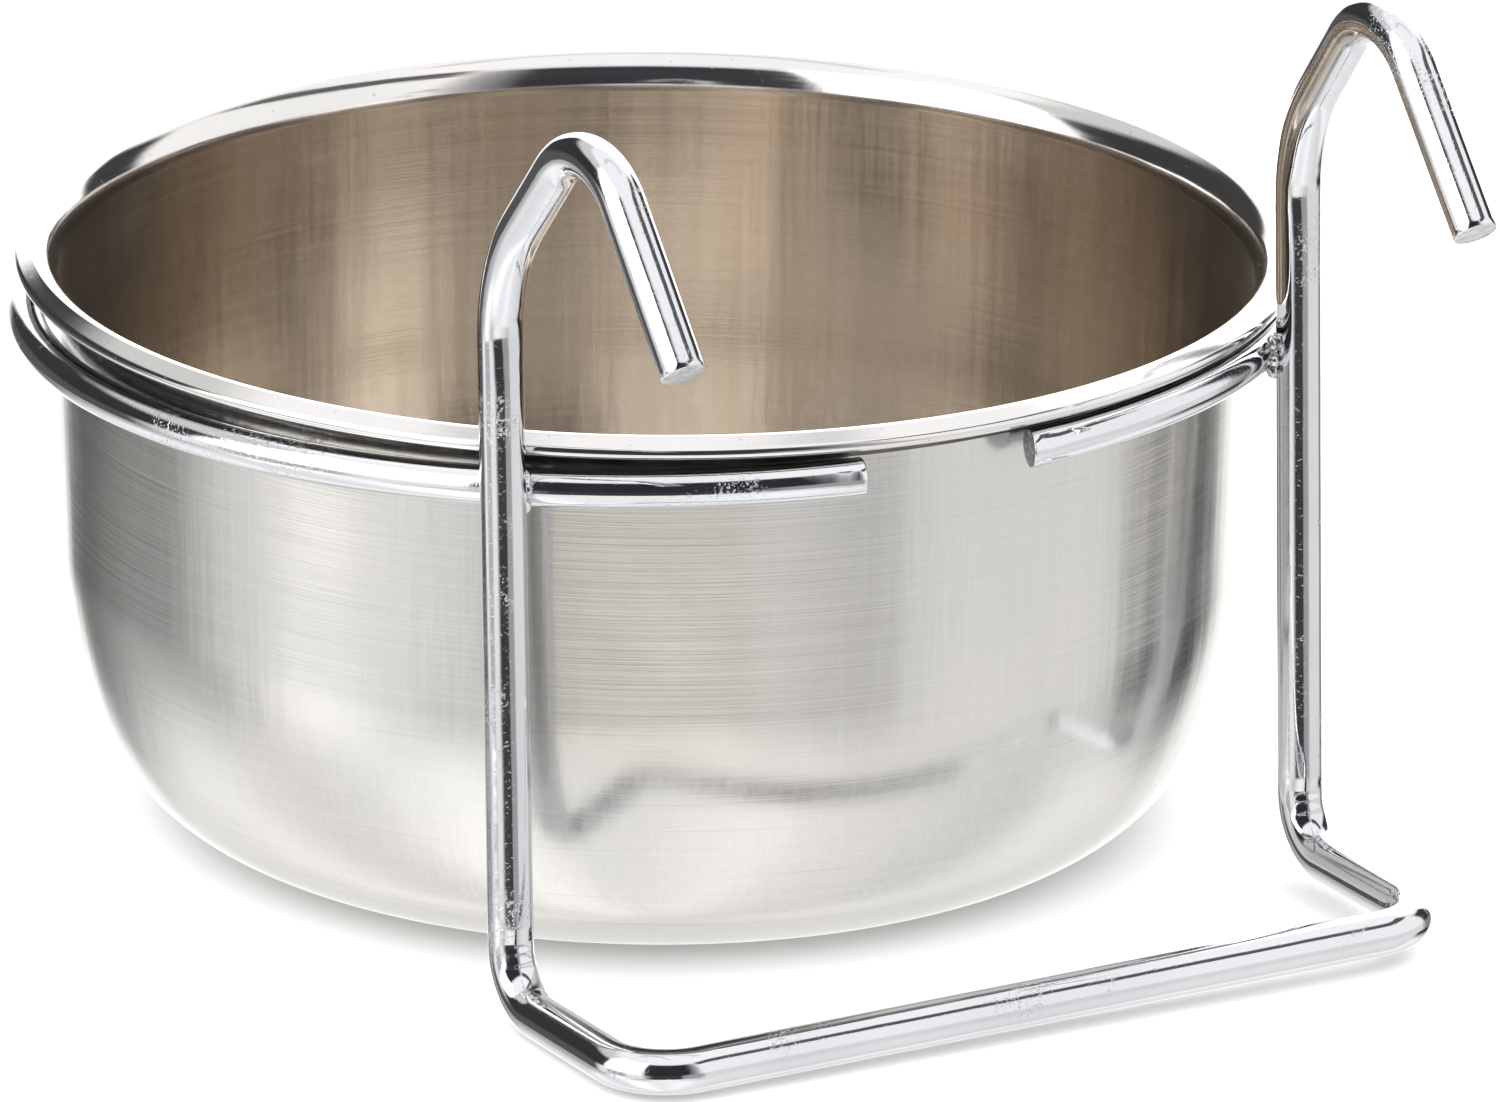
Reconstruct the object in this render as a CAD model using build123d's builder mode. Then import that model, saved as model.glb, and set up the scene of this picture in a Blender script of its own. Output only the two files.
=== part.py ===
from build123d import *
import os
from math import sin, cos, tan, acos, radians, sqrt, pi

os.makedirs("parts", exist_ok=True)

# Hanging coop cup: a drawn stainless bowl that drops into a chromed wire holder.
# Frame: +Z up, the origin on the centre of the bowl's flat base, the cage side at -Y.

# ---- driving dimensions, millimetres
rim_outer_d = 120.0        # over the folded hem
bowl_height = 55.3         # flat base to the top of the rim
sheet = 0.6                # stainless sheet, after drawing
base_flat_r = 38.6         # flat of the base
corner_arcs = ((14.0, 60.0), (31.0, 12.0), (50.0, 16.4))   # outside radius, swept angle
flare_arcs = ((4.0, 40.0), (2.6, 70.0), (0.8, 90.0))       # inside radius, total angle turned outward at its end
rim_slope = 30.0           # degrees the outer band of the rim falls away past the crest
nose_r = 0.65              # rounded outer edge where the sheet folds under
hem_width = 2.4            # how far the folded edge runs back under the rim
hem_end_r = 0.25           # softened end of the fold

ring_wire_d = 3.6
ring_centre_r = 59.2       # centreline radius of the support ring
ring_drop = 5.55           # centre of the ring below the top of the rim
ring_gap_left = -10.3      # sheared ends, degrees from -Y toward +X
ring_gap_right = 6.1
ring_cut_slant = 18.0      # the right end was sheared at a slant, outer side longer
sheared_edge = 0.25        # burr knocked off the sheared ends

hanger_wire_d = 4.2
upright_half = 41.6        # half the spacing of the uprights
weld_sink = 0.2            # how far the two wires are pressed together at each weld
foot_reach = 24.65         # upright centreline to cross-bar centreline
shoulder_z = 71.7          # bend corner where each upright leans out
peak_out, peak_z = 16.45, 90.3     # bend corner of each hook, out from the upright
tip_out, tip_z = 33.2, 70.3        # sheared end of each hook
bar_z = 1.62               # centreline of the cross bar
hook_toe_in = 0.85         # the hooks lean toward each other by this much
shoulder_bend_r = 18.0
peak_bend_r = 8.0
foot_bend_r = 5.5
bar_bend_r = 6.0

weld_spread = 2.4          # radius of the squeezed-out metal at each weld
weld_depth = 1.7           # half its thickness across the two wires

# the holder is built square to the bowl, then leans on it the way a sprung ring does
lean_forward = 1.2         # degrees about X: the ring rides high toward the cage
lean_sideways = 0.75       # degrees about Y: and high on the right
holder_shift = 0.3         # the ring's slack taken up toward +X

# ---- derived
rim_r = rim_outer_d / 2
ring_wire_r = ring_wire_d / 2
hanger_wire_r = hanger_wire_d / 2
ring_z = bowl_height - ring_drop
upright_reach = ring_centre_r + ring_wire_r + hanger_wire_r - weld_sink
upright_y = -sqrt(upright_reach**2 - upright_half**2)
bar_y = upright_y - foot_reach
ring_middle = (0, 0, ring_z)


def lean(solid):
    # the rigid holder turned about the middle of its ring
    solid = solid.rotate(Axis(ring_middle, (1, 0, 0)), -lean_forward)
    solid = solid.rotate(Axis(ring_middle, (0, 1, 0)), -lean_sideways)
    return solid.translate((holder_shift, 0, 0))


def rounded(points, radii):
    # Lines and tangent arcs through the bend corners of one wire.
    pts = [Vector(*p) for p in points]
    start = pts[0]
    for i, r in enumerate(radii, 1):
        a = (pts[i - 1] - pts[i]).normalized()
        b = (pts[i + 1] - pts[i]).normalized()
        half = acos(max(-1.0, min(1.0, a.dot(b)))) / 2
        back = r / tan(half)
        centre = pts[i] + (a + b).normalized() * (r / sin(half))
        t0, t1 = pts[i] + a * back, pts[i] + b * back
        mid = centre + (pts[i] - centre).normalized() * r
        Line(start, t0)
        ThreePointArc(t0, mid, t1)
        start = t1
    Line(start, pts[-1])


# ---- bowl: one drawn shell, flared at the mouth and hemmed
arc_start, heading = (base_flat_r, 0.0), 0.0
outside = []
for r, sweep_deg in corner_arcs:
    h0, h1 = radians(heading), radians(heading + sweep_deg)
    hm = (h0 + h1) / 2
    cx = arc_start[0] - r * sin(h0)
    cz = arc_start[1] + r * cos(h0)
    outside.append((cx, cz, r, h0, hm, h1))
    arc_start = (cx + r * sin(h1), cz - r * cos(h1))
    heading += sweep_deg
flare_height, turned = 0.0, 0.0
for r, angle in flare_arcs:
    flare_height += r * (sin(radians(angle)) - sin(radians(turned)))
    turned = angle
flare_z = bowl_height - flare_height
wall_r = arc_start[0] + (flare_z - arc_start[1]) / tan(radians(heading))      # outside of the wall under the flare
inner_wall_r = wall_r - sheet


def on_arc(cx, cz, r, angle):
    # a point round (cx, cz), the angle measured from the inward direction up toward the crest
    return (cx - r * cos(angle), cz + r * sin(angle))


flare = []
at, turned = (inner_wall_r, flare_z), 0.0
for r, angle in flare_arcs:
    b0, b1 = radians(turned), radians(angle)
    cx, cz = at[0] + r * cos(b0), at[1] - r * sin(b0)
    flare.append((cx, cz, r, b0, b1))
    at, turned = on_arc(cx, cz, r, b1), angle
crest_r, crest_cz, crest_arc_r = flare[-1][:3]
fall = radians(rim_slope)
slope_top = on_arc(crest_r, crest_cz, crest_arc_r, pi / 2 + fall)
nose_cx = rim_r - nose_r
slope_end_r = nose_cx + nose_r * sin(fall)
slope_end = (slope_end_r, slope_top[1] - (slope_end_r - slope_top[0]) * tan(fall))
nose_cz = slope_end[1] - nose_r * cos(fall)
hem_z = nose_cz - nose_r                   # underside of the fold
hem_end = rim_r - hem_width
# the fold stops against the underside of the second flare arc
meet_cx, meet_cz, meet_arc_r, meet_b0 = flare[1][:4]
meet_r = meet_arc_r - sheet
hem_meet = acos((meet_cx - hem_end) / meet_r)


with BuildPart() as bowl:
    with BuildSketch(Plane.XZ) as bowl_section:
        with BuildLine():
            Line((0, 0), (base_flat_r, 0))
            for cx, cz, r, h0, hm, h1 in outside:
                ThreePointArc(
                    (cx + r * sin(h0), cz - r * cos(h0)),
                    (cx + r * sin(hm), cz - r * cos(hm)),
                    (cx + r * sin(h1), cz - r * cos(h1)),
                )
            Line(arc_start, (wall_r, flare_z))
            cx, cz, r, b0, b1 = flare[0]
            ThreePointArc(*[on_arc(cx, cz, r - sheet, t) for t in (b0, (b0 + b1) / 2, b1)])
            ThreePointArc(*[on_arc(meet_cx, meet_cz, meet_r, t) for t in (meet_b0, (meet_b0 + hem_meet) / 2, hem_meet)])
            Line(on_arc(meet_cx, meet_cz, meet_r, hem_meet), (hem_end, hem_z + hem_end_r))
            k = hem_end_r * (1 - cos(radians(45)))
            ThreePointArc((hem_end, hem_z + hem_end_r), (hem_end + k, hem_z + k), (hem_end + hem_end_r, hem_z))
            Line((hem_end + hem_end_r, hem_z), (nose_cx, hem_z))
            ThreePointArc((nose_cx, hem_z), (nose_cx + nose_r * cos(fall / 2), nose_cz - nose_r * sin(fall / 2)), slope_end)
            Line(slope_end, slope_top)
            ThreePointArc(*[on_arc(crest_r, crest_cz, crest_arc_r, pi / 2 + t) for t in (fall, fall / 2, 0)])
            for cx, cz, r, b0, b1 in reversed(flare):
                ThreePointArc(*[on_arc(cx, cz, r, t) for t in (b1, (b0 + b1) / 2, b0)])
            cx, cz, r, h0, hm, h1 = outside[-1]
            Line((inner_wall_r, flare_z), (cx + (r - sheet) * sin(h1), cz - (r - sheet) * cos(h1)))
            for cx, cz, r, h0, hm, h1 in reversed(outside):
                ThreePointArc(
                    (cx + (r - sheet) * sin(h1), cz - (r - sheet) * cos(h1)),
                    (cx + (r - sheet) * sin(hm), cz - (r - sheet) * cos(hm)),
                    (cx + (r - sheet) * sin(h0), cz - (r - sheet) * cos(h0)),
                )
            Line((base_flat_r, sheet), (0, sheet))
            Line((0, sheet), (0, 0))
        make_face()
    revolve(axis=Axis.Z)

# ---- hanger wire: hook, upright, foot, cross bar, foot, upright, hook in one length
hanger_path = []
for side in (-1, 1):
    x, toe = side * upright_half, -side * hook_toe_in
    hanger_path.append([
        (x + toe, upright_y - tip_out, tip_z),
        (x + toe, upright_y - peak_out, peak_z),
        (x, upright_y, shoulder_z),
        (x, upright_y, bar_z),
        (x, bar_y, bar_z),
    ])
hanger_points = hanger_path[0] + hanger_path[1][::-1]
hanger_bends = [peak_bend_r, shoulder_bend_r, foot_bend_r, bar_bend_r,
                bar_bend_r, foot_bend_r, shoulder_bend_r, peak_bend_r]

with BuildPart() as hanger_wire:
    with BuildLine() as hanger_line:
        rounded(hanger_points, hanger_bends)
    tip = Vector(*hanger_points[0])
    with BuildSketch(Plane(origin=tip, z_dir=Vector(*hanger_points[1]) - tip)):
        Circle(hanger_wire_r)
    sweep(path=hanger_line.wires()[0])
    ends = [f for f in hanger_wire.faces().filter_by(GeomType.PLANE)]
    chamfer([e for f in ends for e in f.edges()], length=sheared_edge)

# ---- support ring: open ring with sheared ends, saddled where it is welded to the uprights
spare = 2.0                # degrees of wire beyond the slanted cut, sheared off
wire_start = radians(ring_gap_right - spare - 90)
cut_at = radians(ring_gap_right - 90)
cut_face = radians(ring_gap_right - ring_cut_slant)
with BuildPart() as support_ring:
    ring_start = Vector(ring_centre_r * cos(wire_start), ring_centre_r * sin(wire_start), ring_z)
    with BuildSketch(Plane(origin=ring_start, z_dir=Vector(-sin(wire_start), cos(wire_start), 0))):
        Circle(ring_wire_r)
    revolve(axis=Axis.Z, revolution_arc=360 - (ring_gap_right - ring_gap_left) + spare)
    slant = Plane(
        origin=(ring_centre_r * cos(cut_at), ring_centre_r * sin(cut_at), ring_z),
        z_dir=Vector(-cos(cut_face), -sin(cut_face), 0),
    )
    with BuildSketch(slant):
        Rectangle(4 * ring_wire_r, 4 * ring_wire_r)
    extrude(amount=2 * ring_wire_r, mode=Mode.SUBTRACT)
    fillet([e for f in support_ring.faces().filter_by(GeomType.PLANE) for e in f.edges()], radius=sheared_edge)
    for x in (-upright_half, upright_half):
        with BuildSketch(Plane.XY.offset(ring_z - 6)):
            with Locations((x, upright_y)):
                Circle(hanger_wire_r)
        extrude(amount=12, mode=Mode.SUBTRACT)


# ---- the metal squeezed out around each resistance weld
def weld_solid(side):
    ang_v = Vector(side * upright_half, upright_y, 0).normalized()
    at = ang_v * (ring_centre_r + ring_wire_r - weld_sink / 2) + Vector(0, 0, ring_z)
    section = Plane(origin=at, x_dir=ang_v, z_dir=Vector(0, 0, 1))
    with BuildPart() as blob:
        with BuildSketch(section):
            Ellipse(weld_depth, weld_spread)
            with Locations((0, -weld_spread)):
                Rectangle(4 * weld_depth, 2 * weld_spread, mode=Mode.SUBTRACT)
        revolve(axis=Axis(at, ang_v))
        add(hanger_wire.part, mode=Mode.SUBTRACT)
        with BuildLine(mode=Mode.PRIVATE) as full_ring:
            CenterArc((0, 0, ring_z), ring_centre_r, 0, 360)
        with BuildSketch(Plane(origin=(ring_centre_r, 0, ring_z), z_dir=(0, 1, 0)), mode=Mode.PRIVATE) as wire_end:
            Circle(ring_wire_r)
        revolve(wire_end.sketch, axis=Axis.Z, mode=Mode.SUBTRACT)
    return blob.part


with BuildPart() as weld_left:
    add(weld_solid(-1))

with BuildPart() as weld_right:
    add(weld_solid(1))

for solid, name in (
    (bowl.part, "bowl"),
    (lean(support_ring.part), "support_ring"),
    (lean(hanger_wire.part), "hanger_wire"),
    (lean(weld_left.part), "weld_left"),
    (lean(weld_right.part), "weld_right"),
):
    solid.label = name
    export_step(solid, "parts/" + name + ".step")
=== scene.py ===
import bpy
import math
from math import sin, cos, tan, acos, atan2, sqrt, radians, pi
from mathutils import Vector, Matrix, noise


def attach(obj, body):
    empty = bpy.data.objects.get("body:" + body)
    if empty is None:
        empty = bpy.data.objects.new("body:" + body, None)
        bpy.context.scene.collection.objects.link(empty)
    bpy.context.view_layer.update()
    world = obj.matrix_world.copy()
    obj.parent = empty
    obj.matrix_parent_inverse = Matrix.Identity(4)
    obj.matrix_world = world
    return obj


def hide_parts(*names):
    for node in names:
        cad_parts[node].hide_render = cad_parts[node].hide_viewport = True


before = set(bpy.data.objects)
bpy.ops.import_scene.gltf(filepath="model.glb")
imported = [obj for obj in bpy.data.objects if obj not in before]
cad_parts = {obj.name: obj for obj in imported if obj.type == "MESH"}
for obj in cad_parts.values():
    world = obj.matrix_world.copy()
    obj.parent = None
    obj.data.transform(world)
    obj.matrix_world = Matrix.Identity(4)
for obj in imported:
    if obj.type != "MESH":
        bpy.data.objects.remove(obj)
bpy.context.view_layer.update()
MM = 0.001

# ------------------------------------------------------------ dimensions (mm), as in the CAD
rim_r = 60.0
bowl_height = 55.3
sheet = 0.6
base_flat_r = 38.6
corner_arcs = ((14.0, 60.0), (31.0, 12.0), (50.0, 16.4))
flare_arcs = ((4.0, 40.0), (2.6, 70.0), (0.8, 90.0))
rim_slope, nose_r = radians(30.0), 0.65
hem_width = 2.4
ring_wire_r = 1.8
ring_centre_r = 59.2
ring_z = bowl_height - 5.55
ring_gap_left, ring_gap_right = -10.3, 6.1
ring_cut_slant = 18.0
hanger_wire_r = 2.1
upright_half = 41.6
weld_sink = 0.2
foot_reach = 24.65
shoulder_z = 71.7
peak_out, peak_z = 16.45, 90.3
tip_out, tip_z = 33.2, 70.3
bar_z = 1.62
hook_toe_in = 0.85
bends = [8.0, 18.0, 5.5, 6.0, 6.0, 5.5, 18.0, 8.0]
upright_y = -sqrt((ring_centre_r + ring_wire_r + hanger_wire_r - weld_sink) ** 2 - upright_half ** 2)
bar_y = upright_y - foot_reach
# the rigid holder leans on the bowl, turned about the middle of its ring
lean = (Matrix.Translation(Vector((0.3, 0, ring_z)) * MM) @ Matrix.Rotation(radians(-0.75), 4, "Y")
        @ Matrix.Rotation(radians(-1.2), 4, "X") @ Matrix.Translation(Vector((0, 0, -ring_z)) * MM))


# ------------------------------------------------------------ node helpers
class Nodes:
    def __init__(self, tree):
        self.t = tree
        tree.nodes.clear()

    def add(self, kind, **props):
        n = self.t.nodes.new(kind)
        for k, v in props.items():
            if k.startswith("in_"):
                key = k[3:]
                n.inputs[int(key) if key.isdigit() else key.replace("_", " ")].default_value = v
            else:
                setattr(n, k, v)
        return n

    def link(self, a, b):
        self.t.links.new(a, b)

    def math(self, op, a, b=None, clamp=False):
        n = self.add("ShaderNodeMath", operation=op, use_clamp=clamp)
        for i, v in enumerate((a, b)):
            if v is None:
                continue
            if isinstance(v, (int, float)):
                n.inputs[i].default_value = v
            else:
                self.link(v, n.inputs[i])
        return n.outputs[0]

    def remap(self, v, a, b, c, d, smooth=False):
        n = self.add("ShaderNodeMapRange", interpolation_type="SMOOTHSTEP" if smooth else "LINEAR")
        self.link(v, n.inputs["Value"])
        for k, x in zip(("From Min", "From Max", "To Min", "To Max"), (a, b, c, d)):
            n.inputs[k].default_value = x
        return n.outputs["Result"]

    def noise(self, coord, scale, detail=3.0, rough=0.55, distortion=0.0, stretch=(1, 1, 1)):
        m = self.add("ShaderNodeMapping")
        m.inputs["Scale"].default_value = stretch
        self.link(coord, m.inputs["Vector"])
        n = self.add("ShaderNodeTexNoise")
        n.inputs["Scale"].default_value = scale
        n.inputs["Detail"].default_value = detail
        n.inputs["Roughness"].default_value = rough
        n.inputs["Distortion"].default_value = distortion
        self.link(m.outputs[0], n.inputs["Vector"])
        return n.outputs[0]

    def ramp(self, v, stops, mode="LINEAR"):
        n = self.add("ShaderNodeValToRGB")
        n.color_ramp.interpolation = mode
        el = n.color_ramp.elements
        while len(el) > 1:
            el.remove(el[-1])
        for i, (p, c) in enumerate(stops):
            c = (c, c, c) if isinstance(c, (int, float)) else c
            e = el[0] if i == 0 else el.new(p)
            e.position = p
            e.color = (*c, 1)
        self.link(v, n.inputs[0])
        return n.outputs["Color"]

    def mix(self, f, a, b, mode="MIX"):
        n = self.add("ShaderNodeMix", data_type="RGBA", blend_type=mode)
        for sock, v in ((n.inputs[0], f), (n.inputs[6], a), (n.inputs[7], b)):
            if isinstance(v, (int, float)):
                sock.default_value = v
            elif isinstance(v, tuple):
                sock.default_value = (*v, 1)
            else:
                self.link(v, sock)
        return n.outputs[2]

    def bump(self, height, strength, distance, normal=None):
        n = self.add("ShaderNodeBump")
        n.inputs["Strength"].default_value = strength
        n.inputs["Distance"].default_value = distance
        self.link(height, n.inputs["Height"])
        if normal is not None:
            self.link(normal, n.inputs["Normal"])
        return n.outputs[0]


def material(name):
    m = bpy.data.materials.new(name)
    m.use_nodes = True
    nt = Nodes(m.node_tree)
    out = nt.add("ShaderNodeOutputMaterial")
    p = nt.add("ShaderNodeBsdfPrincipled")
    nt.link(p.outputs[0], out.inputs[0])
    p.inputs["Metallic"].default_value = 1.0
    obj = nt.add("ShaderNodeTexCoord").outputs["Object"]
    return m, nt, p, obj


# ------------------------------------------------------------ materials
def satin_steel(name, inside):
    # fine polishing lines running round the bowl, crossed by faint draw lines up the wall
    m, nt, p, obj = material(name)
    around = nt.noise(obj, 1.0, 4, 0.6, stretch=(30, 30, 5200))
    around_soft = nt.noise(obj, 1.0, 3, 0.55, stretch=(14, 14, 900))
    upward = nt.noise(obj, 1.0, 3, 0.6, stretch=(2400, 2400, 22))
    upward_soft = nt.noise(obj, 1.0, 2, 0.5, stretch=(260, 260, 9))
    cloud = nt.noise(obj, 34.0, 3, 0.5)
    blotch = nt.noise(obj, 90.0, 4, 0.6)
    lines = nt.math("ADD", nt.math("MULTIPLY", around, 0.55), nt.math("MULTIPLY", upward, 0.45))
    warm = (0.650, 0.583, 0.508) if inside else (0.680, 0.660, 0.628)
    cool = (0.612, 0.562, 0.502) if inside else (0.640, 0.628, 0.608)
    base = nt.mix(nt.remap(cloud, 0.35, 0.65, 0, 1, True), warm, cool)
    base = nt.mix(nt.remap(lines, 0.38, 0.62, 0.0, 1.0), nt.mix(0.10, base, (0.25, 0.23, 0.22)), base)
    if inside:
        # faint draw streaks up the wall
        streak = nt.noise(obj, 1.0, 2, 0.5, stretch=(420, 420, 6))
        base = nt.mix(nt.remap(streak, 0.42, 0.60, 0, 1, True), nt.mix(0.5, base, (0.56, 0.50, 0.43)), base)
    # sparse hair scratches
    scratch = nt.noise(obj, 1.0, 2, 0.4, distortion=0.10, stretch=(55, 55, 4200))
    hair = nt.remap(scratch, 0.66, 0.74, 0, 1)
    base = nt.mix(nt.math("MULTIPLY", hair, 0.13), base, (0.33, 0.31, 0.30))
    nt.link(base, p.inputs["Base Color"])
    r = nt.math("ADD", nt.remap(lines, 0.3, 0.7, 0.16 if inside else 0.14, 0.24 if inside else 0.21),
                nt.remap(blotch, 0.3, 0.7, -0.02, 0.03))
    r = nt.math("ADD", r, nt.remap(cloud, 0.3, 0.7, -0.015, 0.02))
    nt.link(r, p.inputs["Roughness"])
    p.inputs["Anisotropic"].default_value = 0.55 if inside else 0.45
    p.inputs["Anisotropic Rotation"].default_value = 0.25
    tg = nt.add("ShaderNodeTangent", direction_type="RADIAL", axis="Z")
    nt.link(tg.outputs[0], p.inputs["Tangent"])
    b = nt.bump(around, 0.16 if inside else 0.10, 0.00006)
    b = nt.bump(upward, 0.12, 0.00005, b)
    b = nt.bump(around_soft, 0.10 if inside else 0.05, 0.0002, b)
    b = nt.bump(upward_soft, 0.26 if inside else 0.18, 0.0003, b)
    b = nt.bump(cloud, 0.10, 0.0010, b)
    nt.link(b, p.inputs["Normal"])
    return m


def mirror_steel(name):
    # the flare and the fold are buffed bright, with a few circular buffing lines and nicks
    m, nt, p, obj = material(name)
    lines = nt.noise(obj, 1.0, 4, 0.6, stretch=(16, 16, 6500))
    cloud = nt.noise(obj, 55.0, 3, 0.5)
    nick = nt.noise(obj, 1500.0, 2, 0.5)
    nicks = nt.remap(nick, 0.70, 0.78, 0, 1)
    base = nt.mix(nt.remap(cloud, 0.35, 0.65, 0, 1, True), (0.745, 0.725, 0.705), (0.700, 0.685, 0.670))
    base = nt.mix(nt.math("MULTIPLY", nicks, 0.45), base, (0.30, 0.29, 0.28))
    nt.link(base, p.inputs["Base Color"])
    r = nt.math("ADD", nt.remap(lines, 0.3, 0.7, 0.05, 0.12), nt.remap(cloud, 0.3, 0.7, 0.0, 0.03))
    r = nt.math("ADD", r, nt.math("MULTIPLY", nicks, 0.2))
    nt.link(r, p.inputs["Roughness"])
    b = nt.bump(lines, 0.07, 0.00005)
    b = nt.bump(cloud, 0.12, 0.0006, b)
    b = nt.bump(nick, 0.03, 0.00008, b)
    nt.link(b, p.inputs["Normal"])
    return m


def painted_shade_steel(name):
    # painted shade: a dark, rougher steel under the fold and the flare, standing in for the shade in the crevice
    # between the lip and the ring
    m, nt, p, obj = material(name)
    shade_mottle = nt.noise(obj, 260.0, 4, 0.6)
    nt.link(nt.mix(nt.remap(shade_mottle, 0.35, 0.65, 0, 1), (0.10, 0.092, 0.085), (0.17, 0.16, 0.15)), p.inputs["Base Color"])
    nt.link(nt.remap(shade_mottle, 0.3, 0.7, 0.30, 0.45), p.inputs["Roughness"])
    nt.link(nt.bump(shade_mottle, 0.2, 0.0001), p.inputs["Normal"])
    return m


def chrome(name, pit=0.5):
    # bright plating over drawn wire: long drawing ripples, small pits and specks
    m, nt, p, obj = material(name)
    ripple = nt.noise(obj, 160.0, 3, 0.5)
    slow = nt.noise(obj, 45.0, 2, 0.5)
    grain = nt.noise(obj, 2600.0, 2, 0.6)
    patch = nt.noise(obj, 90.0, 3, 0.55, distortion=0.4)
    where = nt.remap(patch, 0.55, 0.68, 0, 1, True)
    pits = nt.math("MULTIPLY", nt.remap(grain, 0.60, 0.70, 0, 1), nt.math("ADD", nt.math("MULTIPLY", where, 0.8), 0.08))
    base = nt.mix(nt.remap(slow, 0.35, 0.65, 0, 1, True), (0.690, 0.699, 0.716), (0.648, 0.658, 0.678))
    base = nt.mix(nt.math("MULTIPLY", pits, pit), base, (0.34, 0.34, 0.35))
    nt.link(base, p.inputs["Base Color"])
    r = nt.math("ADD", nt.remap(patch, 0.35, 0.7, 0.035, 0.085), nt.math("MULTIPLY", pits, 0.25))
    nt.link(r, p.inputs["Roughness"])
    b = nt.bump(slow, 0.25, 0.0006)
    b = nt.bump(ripple, 0.14, 0.00025, b)
    b = nt.bump(nt.math("MULTIPLY", pits, -1.0), 0.5, 0.00006, b)
    bead = nt.noise(obj, 3600.0, 4, 0.6)
    beads = nt.math("MULTIPLY", nt.remap(bead, 0.58, 0.66, 0, 1, True), where)
    b = nt.bump(beads, 0.7, 0.00006, b)
    nt.link(b, p.inputs["Normal"])
    return m


def sheared(name, light=(0.74, 0.74, 0.745), dark=(0.50, 0.50, 0.51)):
    # torn and burnished face left by the wire cutter, plated over
    m, nt, p, obj = material(name)
    tear = nt.noise(obj, 1.0, 4, 0.65, distortion=0.6, stretch=(900, 900, 2400))
    grain = nt.noise(obj, 3200.0, 2, 0.6)
    base = nt.mix(nt.remap(tear, 0.35, 0.65, 0, 1), light, dark)
    nt.link(base, p.inputs["Base Color"])
    nt.link(nt.math("ADD", nt.remap(tear, 0.3, 0.7, 0.18, 0.42), nt.remap(grain, 0.3, 0.7, 0, 0.08)), p.inputs["Roughness"])
    b = nt.bump(tear, 0.55, 0.00022)
    b = nt.bump(grain, 0.3, 0.00006, b)
    nt.link(b, p.inputs["Normal"])
    return m


def weld_metal(name):
    m, nt, p, obj = material(name)
    lump = nt.noise(obj, 520.0, 4, 0.6, distortion=0.5)
    grain = nt.noise(obj, 2600.0, 2, 0.6)
    base = nt.mix(nt.remap(lump, 0.35, 0.65, 0, 1), (0.76, 0.76, 0.77), (0.46, 0.45, 0.45))
    nt.link(base, p.inputs["Base Color"])
    nt.link(nt.math("ADD", nt.remap(lump, 0.3, 0.7, 0.06, 0.22), nt.remap(grain, 0.4, 0.8, 0, 0.12)), p.inputs["Roughness"])
    b = nt.bump(lump, 0.6, 0.0004)
    b = nt.bump(grain, 0.25, 0.00005, b)
    nt.link(b, p.inputs["Normal"])
    return m


mat_out = satin_steel("bowl_outside", False)
mat_in = satin_steel("bowl_inside", True)
mat_rim = mirror_steel("bowl_rim")
# painted shade: the dark material for the crevice under the lip
mat_fold_shade = painted_shade_steel("fold_underside_painted_shade")
mat_wire = chrome("hanger_plating", 0.3)
mat_ring = chrome("ring_plating", 0.3)
mat_cut = sheared("sheared_end")
mat_ring_cut = sheared("sheared_ring_end", (0.62, 0.62, 0.63), (0.24, 0.24, 0.25))
mat_weld = weld_metal("weld_plating")


# ------------------------------------------------------------ mesh helpers
def new_mesh(name, verts, faces, mats, face_mat, normals=None):
    me = bpy.data.meshes.new(name)
    me.from_pydata([tuple(v * MM for v in p) for p in verts], [], faces)
    for m in mats:
        me.materials.append(m)
    me.polygons.foreach_set("material_index", face_mat)
    me.polygons.foreach_set("use_smooth", [True] * len(me.polygons))
    me.update()
    if normals is not None:
        me.normals_split_custom_set_from_vertices(normals)
    ob = bpy.data.objects.new(name, me)
    bpy.context.scene.collection.objects.link(ob)
    return ob


def smooth01(t):
    t = max(0.0, min(1.0, t))
    return t * t * (3 - 2 * t)


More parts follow.
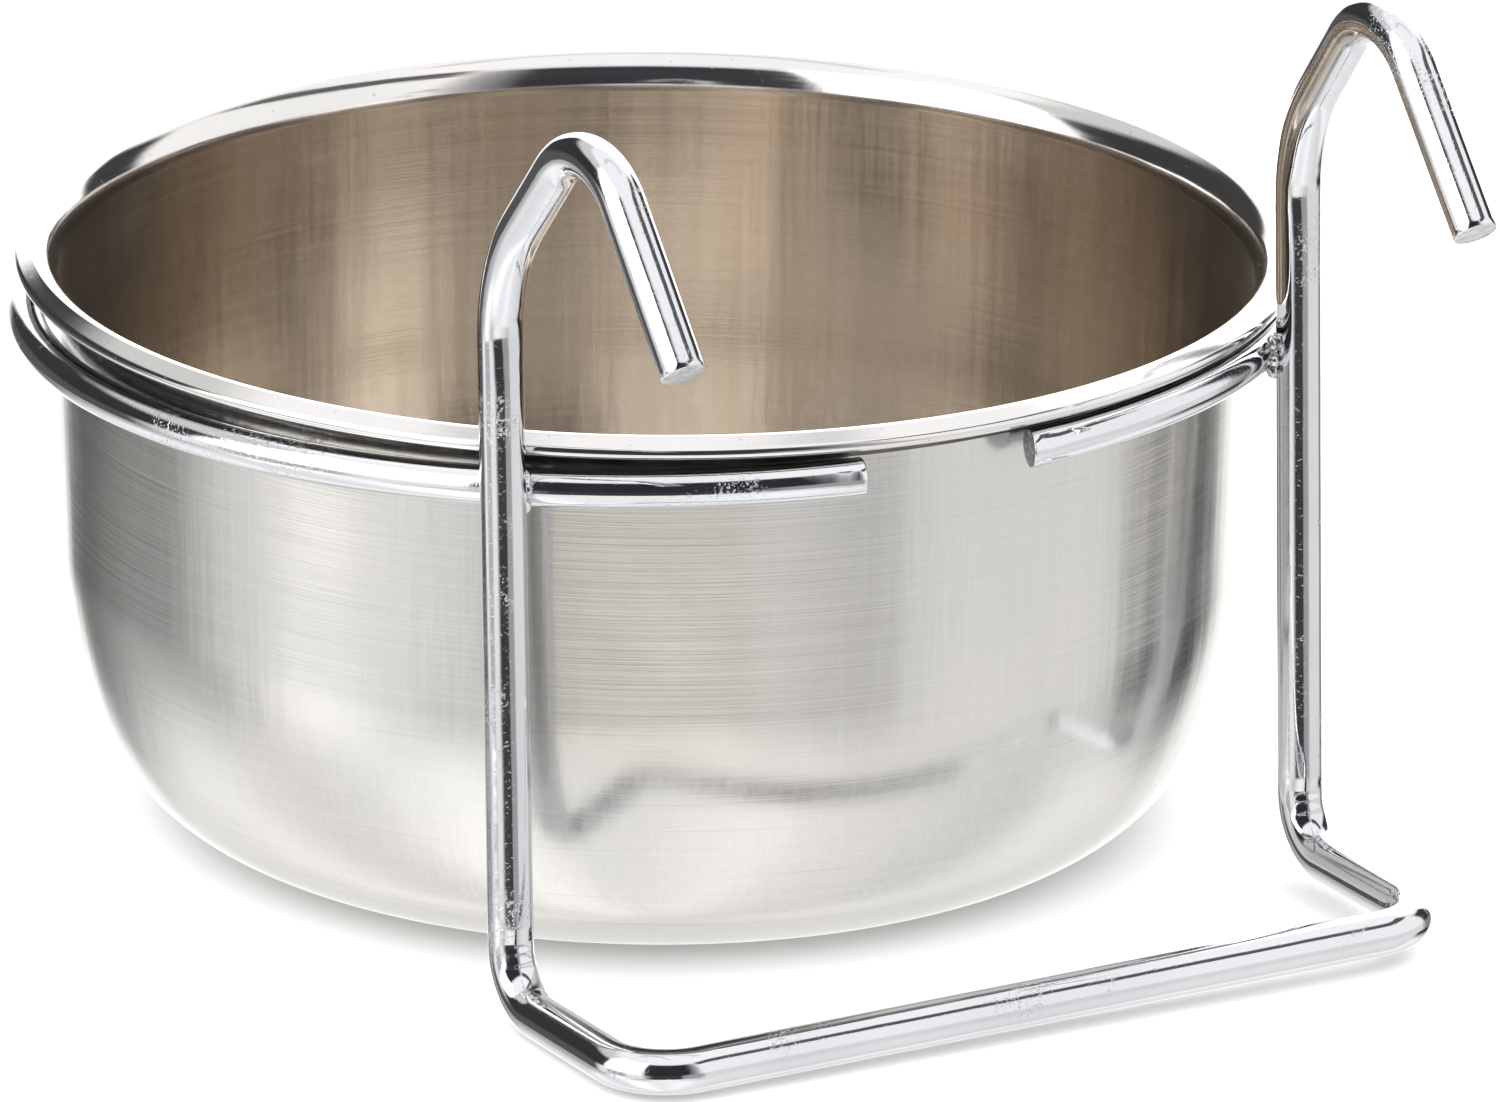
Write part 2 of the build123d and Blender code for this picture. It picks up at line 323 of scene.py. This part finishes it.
# ------------------------------------------------------------ bowl
def bowl_profile():
    # (r, z, normal r, normal z, material) from the centre of the base, out, over the rim and back in
    out = []
    for i in range(7):
        out.append((base_flat_r * i / 6, 0.0, 0.0, -1.0, 0))
    r0, z0, heading = base_flat_r, 0.0, 0.0
    arcs = []
    for r, sw in corner_arcs:
        h0 = radians(heading)
        cx, cz = r0 - r * sin(h0), z0 + r * cos(h0)
        arcs.append((cx, cz, r, heading, heading + sw))
        heading += sw
        r0, z0 = cx + r * sin(radians(heading)), cz - r * cos(radians(heading))
    for cx, cz, r, a, b in arcs:
        n = max(4, int((b - a) / 1.5))
        for i in range(1, n + 1):
            t = radians(a + (b - a) * i / n)
            out.append((cx + r * sin(t), cz - r * cos(t), sin(t), -cos(t), 0))
    lean = radians(heading)
    flare_z, turned = bowl_height, 0.0
    for r, angle in flare_arcs:
        flare_z -= r * (sin(radians(angle)) - sin(radians(turned)))
        turned = angle
    wall_r = r0 + (flare_z - z0) / tan(lean)
    inner_r = wall_r - sheet
    flare, pr, pz, turned = [], inner_r, flare_z, 0.0
    for r, angle in flare_arcs:
        b0, b1 = radians(turned), radians(angle)
        cx, cz = pr + r * cos(b0), pz - r * sin(b0)
        flare.append((cx, cz, r, b0, b1))
        pr, pz, turned = cx - r * cos(b1), cz + r * sin(b1), angle
    crest_r, crest_cz, crest_arc_r = flare[-1][:3]
    hem_end = rim_r - hem_width
    top_r, top_z = crest_r + crest_arc_r * sin(rim_slope), crest_cz + crest_arc_r * cos(rim_slope)
    nose_cx = rim_r - nose_r
    edge_r = nose_cx + nose_r * sin(rim_slope)
    edge_z = top_z - (edge_r - top_r) * tan(rim_slope)
    nose_cz = edge_z - nose_r * cos(rim_slope)
    zb, e = nose_cz - nose_r, 0.25
    for i in range(1, 15):
        t = i / 14
        out.append((r0 + (wall_r - r0) * t, z0 + (flare_z - z0) * t, sin(lean), -cos(lean), 0))
    # the sheet's underside following the flare to where the fold starts, in the painted-shade material
    cx, cz, r, b0, b1 = flare[0]
    for i in range(1, 9):
        t = b0 + (b1 - b0) * i / 8
        out.append((cx - (r - sheet) * cos(t), cz + (r - sheet) * sin(t), cos(t), -sin(t), 3))
    cx, cz, r, b0, b1 = flare[1]
    meet = acos((cx - hem_end) / (r - sheet))
    for i in range(1, 5):
        t = b0 + (meet - b0) * i / 4
        out.append((cx - (r - sheet) * cos(t), cz + (r - sheet) * sin(t), cos(t), -sin(t), 3))
    # inner edge of the fold, then its underside, both in the painted-shade material
    zt = cz + (r - sheet) * sin(meet)
    out.append((hem_end, zt - 0.02, -1.0, 0.0, 3))
    out.append((hem_end, zb + e, -1.0, 0.0, 3))
    for i in range(1, 5):
        t = radians(90 * i / 4)
        out.append((hem_end + e - e * cos(t), zb + e - e * sin(t), -cos(t), -sin(t), 3))
    out.append((nose_cx, zb, 0.0, -1.0, 3))
    # rounded nose, sloping band, crest and flare
    n = 16
    for i in range(1, n + 1):
        t = -pi / 2 + (pi - rim_slope) * i / n
        out.append((nose_cx + nose_r * cos(t), nose_cz + nose_r * sin(t), cos(t), sin(t), 1))
    for i in range(1, 5):
        t = i / 4
        out.append((edge_r + (top_r - edge_r) * t, edge_z + (top_z - edge_z) * t, sin(rim_slope), cos(rim_slope), 1))
    for i in range(1, 7):
        t = rim_slope * (1 - i / 6)
        out.append((crest_r + crest_arc_r * sin(t), crest_cz + crest_arc_r * cos(t), sin(t), cos(t), 1))
    for cx, cz, r, b0, b1 in reversed(flare):
        n = max(5, int(math.degrees(b1 - b0) / 3))
        for i in range(1, n + 1):
            t = b1 + (b0 - b1) * i / n
            out.append((cx - r * cos(t), cz + r * sin(t), -cos(t), sin(t), 1))
    cx, cz, r, a, b = arcs[-1]
    ri1, zi1 = cx + (r - sheet) * sin(radians(b)), cz - (r - sheet) * cos(radians(b))
    for i in range(1, 15):
        t = i / 14
        out.append((inner_r + (ri1 - inner_r) * t, flare_z + (zi1 - flare_z) * t, -sin(lean), cos(lean), 2))
    for cx, cz, r, a, b in reversed(arcs):
        n = max(4, int((b - a) / 1.5))
        for i in range(1, n + 1):
            t = radians(b + (a - b) * i / n)
            out.append((cx + (r - sheet) * sin(t), cz - (r - sheet) * cos(t), -sin(t), cos(t), 2))
    for i in range(5, -1, -1):
        out.append((base_flat_r * i / 6, sheet, 0.0, 1.0, 2))
    return out


def make_bowl():
    prof = bowl_profile()
    n = 288
    verts, normals, faces, fm = [], [], [], []
    for r, z, nr, nz, m in prof[1:-1]:
        for k in range(n):
            t = 2 * pi * k / n
            verts.append((r * cos(t), r * sin(t), z))
            normals.append((nr * cos(t), nr * sin(t), nz))
    rows = len(prof) - 2
    for i in range(rows - 1):
        m = prof[i + 2][4]
        for k in range(n):
            a, b = i * n + k, i * n + (k + 1) % n
            faces.append((a, b, b + n, a + n))
            fm.append(m)
    bottom, top = len(verts), len(verts) + 1
    verts += [(0, 0, prof[0][1]), (0, 0, prof[-1][1])]
    normals += [(0, 0, -1), (0, 0, 1)]
    for k in range(n):
        faces.append((bottom, (k + 1) % n, k))
        fm.append(0)
        last = (rows - 1) * n
        faces.append((top, last + k, last + (k + 1) % n))
        fm.append(2)
    # slot 3 carries the painted shade under the lip
    return new_mesh("bowl_shell", verts, faces, [mat_out, mat_rim, mat_in, mat_fold_shade], fm, normals)


# ------------------------------------------------------------ wires
def bent_path(points, radii, step=0.7, arc_deg=2.5):
    # centreline samples (point, tangent) of straight runs joined by tangent arcs, and the arc spans
    pts = [Vector(p) for p in points]
    out, spans = [], []
    length = 0.0

    def put(p, t):
        nonlocal length
        if out:
            length += (p - out[-1][0]).length
        out.append((p, t, length))

    start = pts[0]
    put(start, (pts[1] - pts[0]).normalized())
    for i, r in enumerate(radii, 1):
        a, b = (pts[i - 1] - pts[i]).normalized(), (pts[i + 1] - pts[i]).normalized()
        half = a.angle(b) / 2
        back = r / tan(half)
        centre = pts[i] + (a + b).normalized() * (r / sin(half))
        t0, t1 = pts[i] + a * back, pts[i] + b * back
        run = (t0 - start).length
        k = max(1, int(run / step))
        for j in range(1, k + 1):
            put(start.lerp(t0, j / k), -a)
        s0 = length
        turn = pi - 2 * half
        axis = (-a).cross(b).normalized()
        k = max(3, int(math.degrees(turn) / arc_deg))
        for j in range(1, k + 1):
            rot = Matrix.Rotation(turn * j / k, 3, axis)
            put(centre + rot @ (t0 - centre), (rot @ (-a)).normalized())
        spans.append((s0, length, (centre, (t0 - centre).normalized(), axis)))
        start = t1
    end = pts[-1]
    run = (end - start).length
    k = max(1, int(run / step))
    t = (end - start).normalized()
    for j in range(1, k + 1):
        put(start.lerp(end, j / k), t)
    return out, spans, length


def tube(name, path, length, radius, mats, shape, sides=44, seed=0.0, first=Vector((1, 0, 0)), edge=0.22, slant=None):
    # a wire along path; shape(s, angle, direction, point) gives how far the surface sits below round
    t0 = path[0][1]
    u = (first - t0 * first.dot(t0)).normalized()
    rows = []
    prev = t0
    for p, t, s in path:
        q = prev.rotation_difference(t)
        u = (q @ u)
        u = (u - t * u.dot(t)).normalized()
        rows.append((p, t, s, u.copy(), t.cross(u)))
        prev = t
    verts, faces, fm = [], [], []

    def skew(p, t, q, s):
        # the head of the wire cut at a slant: the side facing slant[0] reaches further
        if slant is None or s >= 3.0:
            return q
        return q - t * ((q - p).dot(slant[0]) * slant[1] * (1 - s / 3.0))

    def ring(p, t, u, v, r, s, shaped=True):
        start = len(verts)
        for k in range(sides):
            a = 2 * pi * k / sides
            d = u * cos(a) + v * sin(a)
            rr = r
            if shaped:
                q = (p + d * radius)
                rr -= shape(s, a, d, q)
                rr += 0.010 * noise.noise(Vector((q.x, q.y, q.z + seed)) * 0.22) + 0.004 * noise.noise(Vector((q.x, q.y, q.z + seed)) * 0.9)
            verts.append(tuple(skew(p, t, p + d * rr, s)))
        return start

    def cap(p, t, u, v, s, outward, tilt):
        # bevelled lip, then the torn face
        rings = []
        for r, back in ((radius, edge), (radius - 0.06, edge * 0.35), (radius - 0.20, 0.03), (radius - 0.42, 0.0), (radius * 0.62, 0.0), (radius * 0.34, 0.0), (radius * 0.12, 0.0)):
            start = len(verts)
            for k in range(sides):
                a = 2 * pi * k / sides
                d = u * cos(a) + v * sin(a)
                q = p + d * r
                push = -back
                if r < radius - 0.1:
                    push += -0.05 + 0.05 * noise.noise(q * 1.6 + Vector((seed, 0, 0))) - 0.10 * max(0.0, cos(a - tilt)) * (r / radius)
                verts.append(tuple(skew(p, t, p + d * r + outward * push, s)))
            rings.append(start)
        centre = len(verts)
        verts.append(tuple(p - outward * 0.05))
        return rings, centre

    def quads(a, b, mat, flip=False):
        for k in range(sides):
            k2 = (k + 1) % sides
            f = (a + k, a + k2, b + k2, b + k)
            faces.append(f[::-1] if flip else f)
            fm.append(mat)

    # head cap
    p, t, s, uu, vv = rows[0]
    rings, centre = cap(p, t, uu, vv, s, -t, 0.8)
    for k in range(sides):
        faces.append((centre, rings[-1] + (k + 1) % sides, rings[-1] + k))
        fm.append(1)
    for a, b in zip(rings[::-1], rings[::-1][1:]):
        quads(a, b, 1 if b != rings[0] else 0)
    last = rings[0]
    for p, t, s, uu, vv in rows:
        if s < edge * 1.2 or s > length - edge * 1.2:
            continue
        here = ring(p, t, uu, vv, radius, s)
        quads(last, here, 0)
        last = here
    p, t, s, uu, vv = rows[-1]
    rings, centre = cap(p, t, uu, vv, s, t, 2.6)
    quads(last, rings[0], 0)
    for a, b in zip(rings, rings[1:]):
        quads(a, b, 1 if a != rings[0] else 0)
    for k in range(sides):
        faces.append((centre, rings[-1] + k, rings[-1] + (k + 1) % sides))
        fm.append(1)
    return new_mesh(name, verts, faces, mats, fm)


def dent(s, d, at, toward, half_len, depth, spread=0.55, soft=0.35):
    # a tool mark: flat-bottomed along the wire, facing the given way
    x = abs(s - at) / half_len
    if x >= 1:
        return 0.0
    along = 1 - smooth01((x - (1 - soft)) / soft)
    face = smooth01((d.dot(toward) - (1 - spread)) / spread)
    return depth * along * face


def make_hanger():
    points = []
    for side in (-1, 1):
        x, toe = side * upright_half, -side * hook_toe_in
        leg = [
            (x + toe, upright_y - tip_out, tip_z),
            (x + toe, upright_y - peak_out, peak_z),
            (x, upright_y, shoulder_z),
            (x, upright_y, bar_z),
            (x, bar_y, bar_z),
        ]
        points += leg if side < 0 else leg[::-1]
    path, spans, length = bent_path(points, bends)
    marks = []
    for i, (s0, s1, (centre, t0dir, axis)) in enumerate(spans):
        mid = (s0 + s1) / 2
        # inside of the bend: toward its centre
        j = min(range(len(path)), key=lambda k: abs(path[k][2] - mid))
        inward = (centre - path[j][0]).normalized()
        if i in (1, 6):        # shoulder
            low = s1 if i == 1 else s0
            sgn = 1 if i == 1 else -1
            marks.append((low - sgn * 1.0, inward, 2.2, 0.16, 0.5))
            marks.append((low + sgn * 2.2, inward, 1.1, 0.08, 0.45))
            marks.append((mid, -inward, 4.0, 0.05, 0.7))
        elif i in (0, 7):      # hook
            marks.append((mid, inward, 3.4, 0.14, 0.6))
            marks.append((mid, -inward, 4.0, 0.05, 0.6))
        elif i in (2, 5):      # foot
            marks.append((mid, inward, 2.4, 0.22, 0.55))
            up = s0 if i == 2 else s1
            sgn = -1 if i == 2 else 1
            marks.append((up + sgn * 0.4, Vector((0, -1, 0)), 0.55, 0.10, 0.5))
        else:                  # bar corners
            marks.append((mid, inward, 2.6, 0.16, 0.55))

    def shape(s, a, d, q):
        return sum(dent(s, d, at, way, hl, dp, sp) for at, way, hl, dp, sp in marks)

    return tube("hanger_bent_wire", path, length, hanger_wire_r, [mat_wire, mat_cut], shape, seed=3.0, first=Vector((1, 0, 0)))


def make_ring():
    a0, a1 = ring_gap_right - 90.0, ring_gap_left + 270.0
    n = 420
    path, length = [], 0.0
    for i in range(n + 1):
        t = radians(a0 + (a1 - a0) * i / n)
        p = Vector((ring_centre_r * cos(t), ring_centre_r * sin(t), ring_z))
        if path:
            length += (p - path[-1][0]).length
        path.append((p, Vector((-sin(t), cos(t), 0)), length))
    # end scars where the rolled wire was cut, and a roll mark here and there
    marks = [
        (1.6, Vector((0.3, -0.9, 0.5)).normalized(), 1.3, 0.10, 0.35),
        (length - 1.2, Vector((-0.2, -0.9, 0.45)).normalized(), 0.9, 0.07, 0.4),
        (length - 33.0, Vector((-0.5, -0.8, 0.3)).normalized(), 2.6, 0.03, 0.3),
        (length - 58.0, Vector((-0.8, -0.5, 0.3)).normalized(), 3.0, 0.03, 0.3),
    ]

    def shape(s, a, d, q):
        return sum(dent(s, d, at, way, hl, dp, sp) for at, way, hl, dp, sp in marks)

    head = Vector((cos(radians(a0)), sin(radians(a0)), 0))
    return tube("ring_wire", path, length, ring_wire_r, [mat_ring, mat_ring_cut], shape, sides=40, seed=11.0,
                first=Vector((0, 0, 1)), slant=(head, tan(radians(ring_cut_slant))))


# ------------------------------------------------------------ welds
def make_weld(name, side):
    # squeezed-out metal: overlapping lumps skinned into one bead
    out = Vector((side * upright_half, upright_y, 0)).normalized()
    along = Vector((-out.y, out.x, 0))
    at = out * (ring_centre_r + ring_wire_r - weld_sink / 2) + Vector((0, 0, ring_z))
    lumps = [(0, 0, 0, 1.15, 1.75, 1.95)]
    for k, (a, b, c, r) in enumerate((
        (1.45, 1.35, -0.10, 0.85), (-1.40, 1.45, 0.00, 0.80), (1.35, -1.45, -0.05, 0.78), (-1.45, -1.30, 0.05, 0.86),
        (0.35, 1.62, 0.10, 0.60), (-0.55, -1.60, 0.10, 0.64), (1.75, 0.25, 0.25, 0.55), (-1.80, -0.35, 0.25, 0.60),
    )):
        a += 0.12 * sin(3.7 * k + side)
        b += 0.12 * cos(2.9 * k - side)
        lumps.append((a, b, c, r * 0.75, r, r))
    import bmesh
    bm = bmesh.new()
    for a, b, c, sr, sa, sz in lumps:
        made = bmesh.ops.create_icosphere(bm, subdivisions=3, radius=1.0)
        for v in made["verts"]:
            q = v.co
            v.co = (at + along * (a + q.x * sa) + out * (c + q.y * sr) + Vector((0, 0, b + q.z * sz))) * MM
    me = bpy.data.meshes.new(name)
    bm.to_mesh(me)
    bm.free()
    ob = bpy.data.objects.new(name, me)
    bpy.context.scene.collection.objects.link(ob)
    rm = ob.modifiers.new("skin", "REMESH")
    rm.mode = "VOXEL"
    rm.voxel_size = 0.00011
    sm = ob.modifiers.new("settle", "SMOOTH")
    sm.factor = 0.6
    sm.iterations = 5
    dg = bpy.context.evaluated_depsgraph_get()
    baked = bpy.data.meshes.new_from_object(ob.evaluated_get(dg))
    ob.modifiers.clear()
    ob.data = baked
    for v in baked.vertices:
        q = v.co / MM
        n = v.normal.copy()
        v.co += n * MM * (0.07 * noise.noise(q * 1.3 + Vector((side * 5, 0, 0))) + 0.03 * noise.noise(q * 3.1))
    baked.materials.clear()
    baked.materials.append(mat_weld)
    baked.polygons.foreach_set("use_smooth", [True] * len(baked.polygons))
    baked.polygons.foreach_set("material_index", [0] * len(baked.polygons))
    baked.update()
    return ob


bowl = make_bowl()
hanger = make_hanger()
ring = make_ring()
weld_l = make_weld("weld_bead_left", -1)
weld_r = make_weld("weld_bead_right", 1)
for ob in (hanger, ring, weld_l, weld_r):
    ob.data.transform(lean)
    ob.data.update()
for ob, body, node, slot in (
    (bowl, "cup", "bowl", "bowl_steel"),
    (hanger, "holder", "hanger_wire", "hanger_chrome"),
    (ring, "holder", "support_ring", "ring_chrome"),
    (weld_l, "holder", "weld_left", "weld_metal"),
    (weld_r, "holder", "weld_right", "weld_metal"),
):
    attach(ob, body)
    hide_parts(node)

# ------------------------------------------------------------ floor
fm = bpy.data.materials.new("floor_pale")
fm.use_nodes = True
nt = Nodes(fm.node_tree)
o = nt.add("ShaderNodeOutputMaterial")
p = nt.add("ShaderNodeBsdfPrincipled")
nt.link(p.outputs[0], o.inputs[0])
c = nt.noise(nt.add("ShaderNodeTexCoord").outputs["Object"], 3.0, 2, 0.5)
nt.link(nt.mix(c, (0.86, 0.86, 0.86), (0.88, 0.88, 0.88)), p.inputs["Base Color"])
p.inputs["Roughness"].default_value = 0.9
p.inputs["Specular IOR Level"].default_value = 0.0
fv, ff = [(0, 0, 0)], []
for k in range(64):
    t = 2 * pi * k / 64
    fv.append((4000 * cos(t), 4000 * sin(t), 0))
for k in range(64):
    ff.append((0, 1 + k, 1 + (k + 1) % 64))
floor = new_mesh("floor", fv, ff, [fm], [0] * 64)
floor.visible_glossy = False

# ------------------------------------------------------------ camera
a, e, rl = radians(-28.93), radians(18.99), radians(0.55)
back = Vector((sin(a) * cos(e), -cos(a) * cos(e), sin(e)))
right = Vector((cos(a), sin(a), 0))
up = back.cross(right)
r2 = right * cos(rl) + up * sin(rl)
u2 = -right * sin(rl) + up * cos(rl)
target = right * 8.99 + up * -29.29 + Vector((0, 0, bowl_height))
loc = (target + back * 1680.4) * MM
cd = bpy.data.cameras.new("camera")
cd.sensor_fit = "HORIZONTAL"
cd.sensor_width = 36.0
cd.lens = 36.0 * 18001 / 1500
cd.clip_start, cd.clip_end = 0.05, 20
cam = bpy.data.objects.new("camera", cd)
bpy.context.scene.collection.objects.link(cam)
m = Matrix.Identity(4)
for i in range(3):
    m[i][0], m[i][1], m[i][2], m[i][3] = r2[i], u2[i], back[i], loc[i]
cam.matrix_world = m
bpy.context.scene.camera = cam

# ------------------------------------------------------------ studio
w = bpy.data.worlds.new("studio")
bpy.context.scene.world = w
w.use_nodes = True
nt = Nodes(w.node_tree)
out = nt.add("ShaderNodeOutputWorld")
gen = nt.add("ShaderNodeTexCoord").outputs["Generated"]
sep = nt.add("ShaderNodeSeparateXYZ")
nt.link(gen, sep.inputs[0])
az = nt.math("ARCTAN2", sep.outputs[1], sep.outputs[0])
turn = nt.math("FRACT", nt.math("DIVIDE", nt.math("SUBTRACT", az, atan2(back.y, back.x)), 2 * pi))
def turned(stops):
    # azimuth round the set, from the front going to the right
    return nt.ramp(turn, [(d / 360.0, v) for d, v in stops])
K, B, L, R = (0.030, 0.030, 0.040), 2.6, 3.6, 1.22
upper = turned(((0, K), (27, K), (38, 0.5), (46, R), (115, R), (120, 0.05), (138, 0.05), (142, B), (198, B), (204, 0.05),
                (262, 0.04), (270, 0.06), (279, L), (324, L), (331, 0.06), (340, K), (360, K)))
high = turned(((0, K), (27, K), (38, 0.5), (46, R), (115, R), (124, 1.1), (142, B), (198, B), (206, 0.85),
               (268, 0.85), (279, L), (324, L), (331, 0.06), (340, K), (360, K)))
wires = turned(((0, .06), (17, .06), (22, .44), (44, .48), (51, .97), (112, .99), (124, .29), (138, .29), (143, 1.49), (200, 1.49), (206, .12),
                (255, .12), (268, 1.26), (276, 1.15), (282, .60), (302, .60), (309, 1.13), (327, 1.13), (336, .40), (342, .06), (360, .06)))
low = turned(((0, (1.38, 1.32, 1.23)), (12, (1.31, 1.25, 1.18)), (28, 1.00), (42, .80), (48, .90), (61, 1.06), (92, 1.06), (100, .98), (106, .50),
              (112, .04), (136, .04), (144, 1.45), (203, 1.45), (208, .40), (214, .22), (238, .60), (250, .60), (262, .60),
              (272, 0.80), (281, 1.42), (286, 1.76), (297, 1.72), (304, 1.28), (312, 1.02), (320, .84), (330, .76), (342, (1.15, 1.09, 1.03)),
              (350, (1.34, 1.28, 1.19)), (360, (1.38, 1.32, 1.23))))
deep = turned(((0, 1.22), (25, 1.38), (45, 1.16), (75, 1.05), (92, 0.95), (108, 1.25), (118, 1.30), (140, 1.05), (205, 1.05), (225, 1.15), (245, 1.38),
               (262, 1.15), (275, 1.05), (290, 1.15), (305, 1.45), (320, 1.65), (335, 1.35), (345, 1.22), (360, 1.20)))
height = sep.outputs[2]
pattern = nt.mix(nt.remap(height, -0.62, -0.40, 0, 1, True), deep, low)
pattern = nt.mix(nt.remap(height, -0.36, -0.33, 0, 1, True), pattern, wires)
pattern = nt.mix(nt.remap(height, -0.08, 0.05, 0, 1, True), pattern, nt.mix(nt.remap(height, 0.46, 0.60, 0, 1, True), upper, high))
# overhead light, with the dark seam between it and the back wall
seam = nt.math("MULTIPLY", nt.remap(height, 0.925, 0.94, 0, 1, True), nt.remap(height, 0.955, 0.97, 1, 0, True))
behind_only = nt.add("ShaderNodeMath", operation="COMPARE", in_1=0.5, in_2=0.2)
nt.link(turn, behind_only.inputs[0])
seam = nt.math("MULTIPLY", seam, behind_only.outputs[0])
pattern = nt.mix(nt.remap(height, 0.74, 0.83, 0, 1, True), pattern, nt.mix(seam, (1.28, 1.28, 1.30), (0.92, 0.92, 0.93)))
# a dark edge under the overhead light, on the right of the set
ledge = nt.math("MULTIPLY", nt.remap(height, 0.665, 0.69, 0, 1, True), nt.remap(height, 0.80, 0.825, 1, 0, True))
ledge = nt.math("MULTIPLY", ledge, nt.remap(turn, 0.115, 0.14, 0, 1, True))
ledge = nt.math("MULTIPLY", ledge, nt.remap(turn, 0.31, 0.34, 1, 0, True))
pattern = nt.mix(nt.math("MULTIPLY", ledge, 0.93), pattern, (0.05, 0.045, 0.05))
lp = nt.add("ShaderNodeLightPath")
bg_g = nt.add("ShaderNodeBackground")
nt.link(pattern, bg_g.inputs[0])
bg_d = nt.add("ShaderNodeBackground")
bg_d.inputs[0].default_value = (1, 1, 1, 1)
bg_d.inputs[1].default_value = 2.4
mixs = nt.add("ShaderNodeMixShader")
nt.link(lp.outputs["Is Glossy Ray"], mixs.inputs[0])
nt.link(bg_d.outputs[0], mixs.inputs[1])
nt.link(bg_g.outputs[0], mixs.inputs[2])
nt.link(mixs.outputs[0], out.inputs[0])

sc = bpy.context.scene
sc.view_settings.view_transform = "Standard"
sc.view_settings.look = "None"
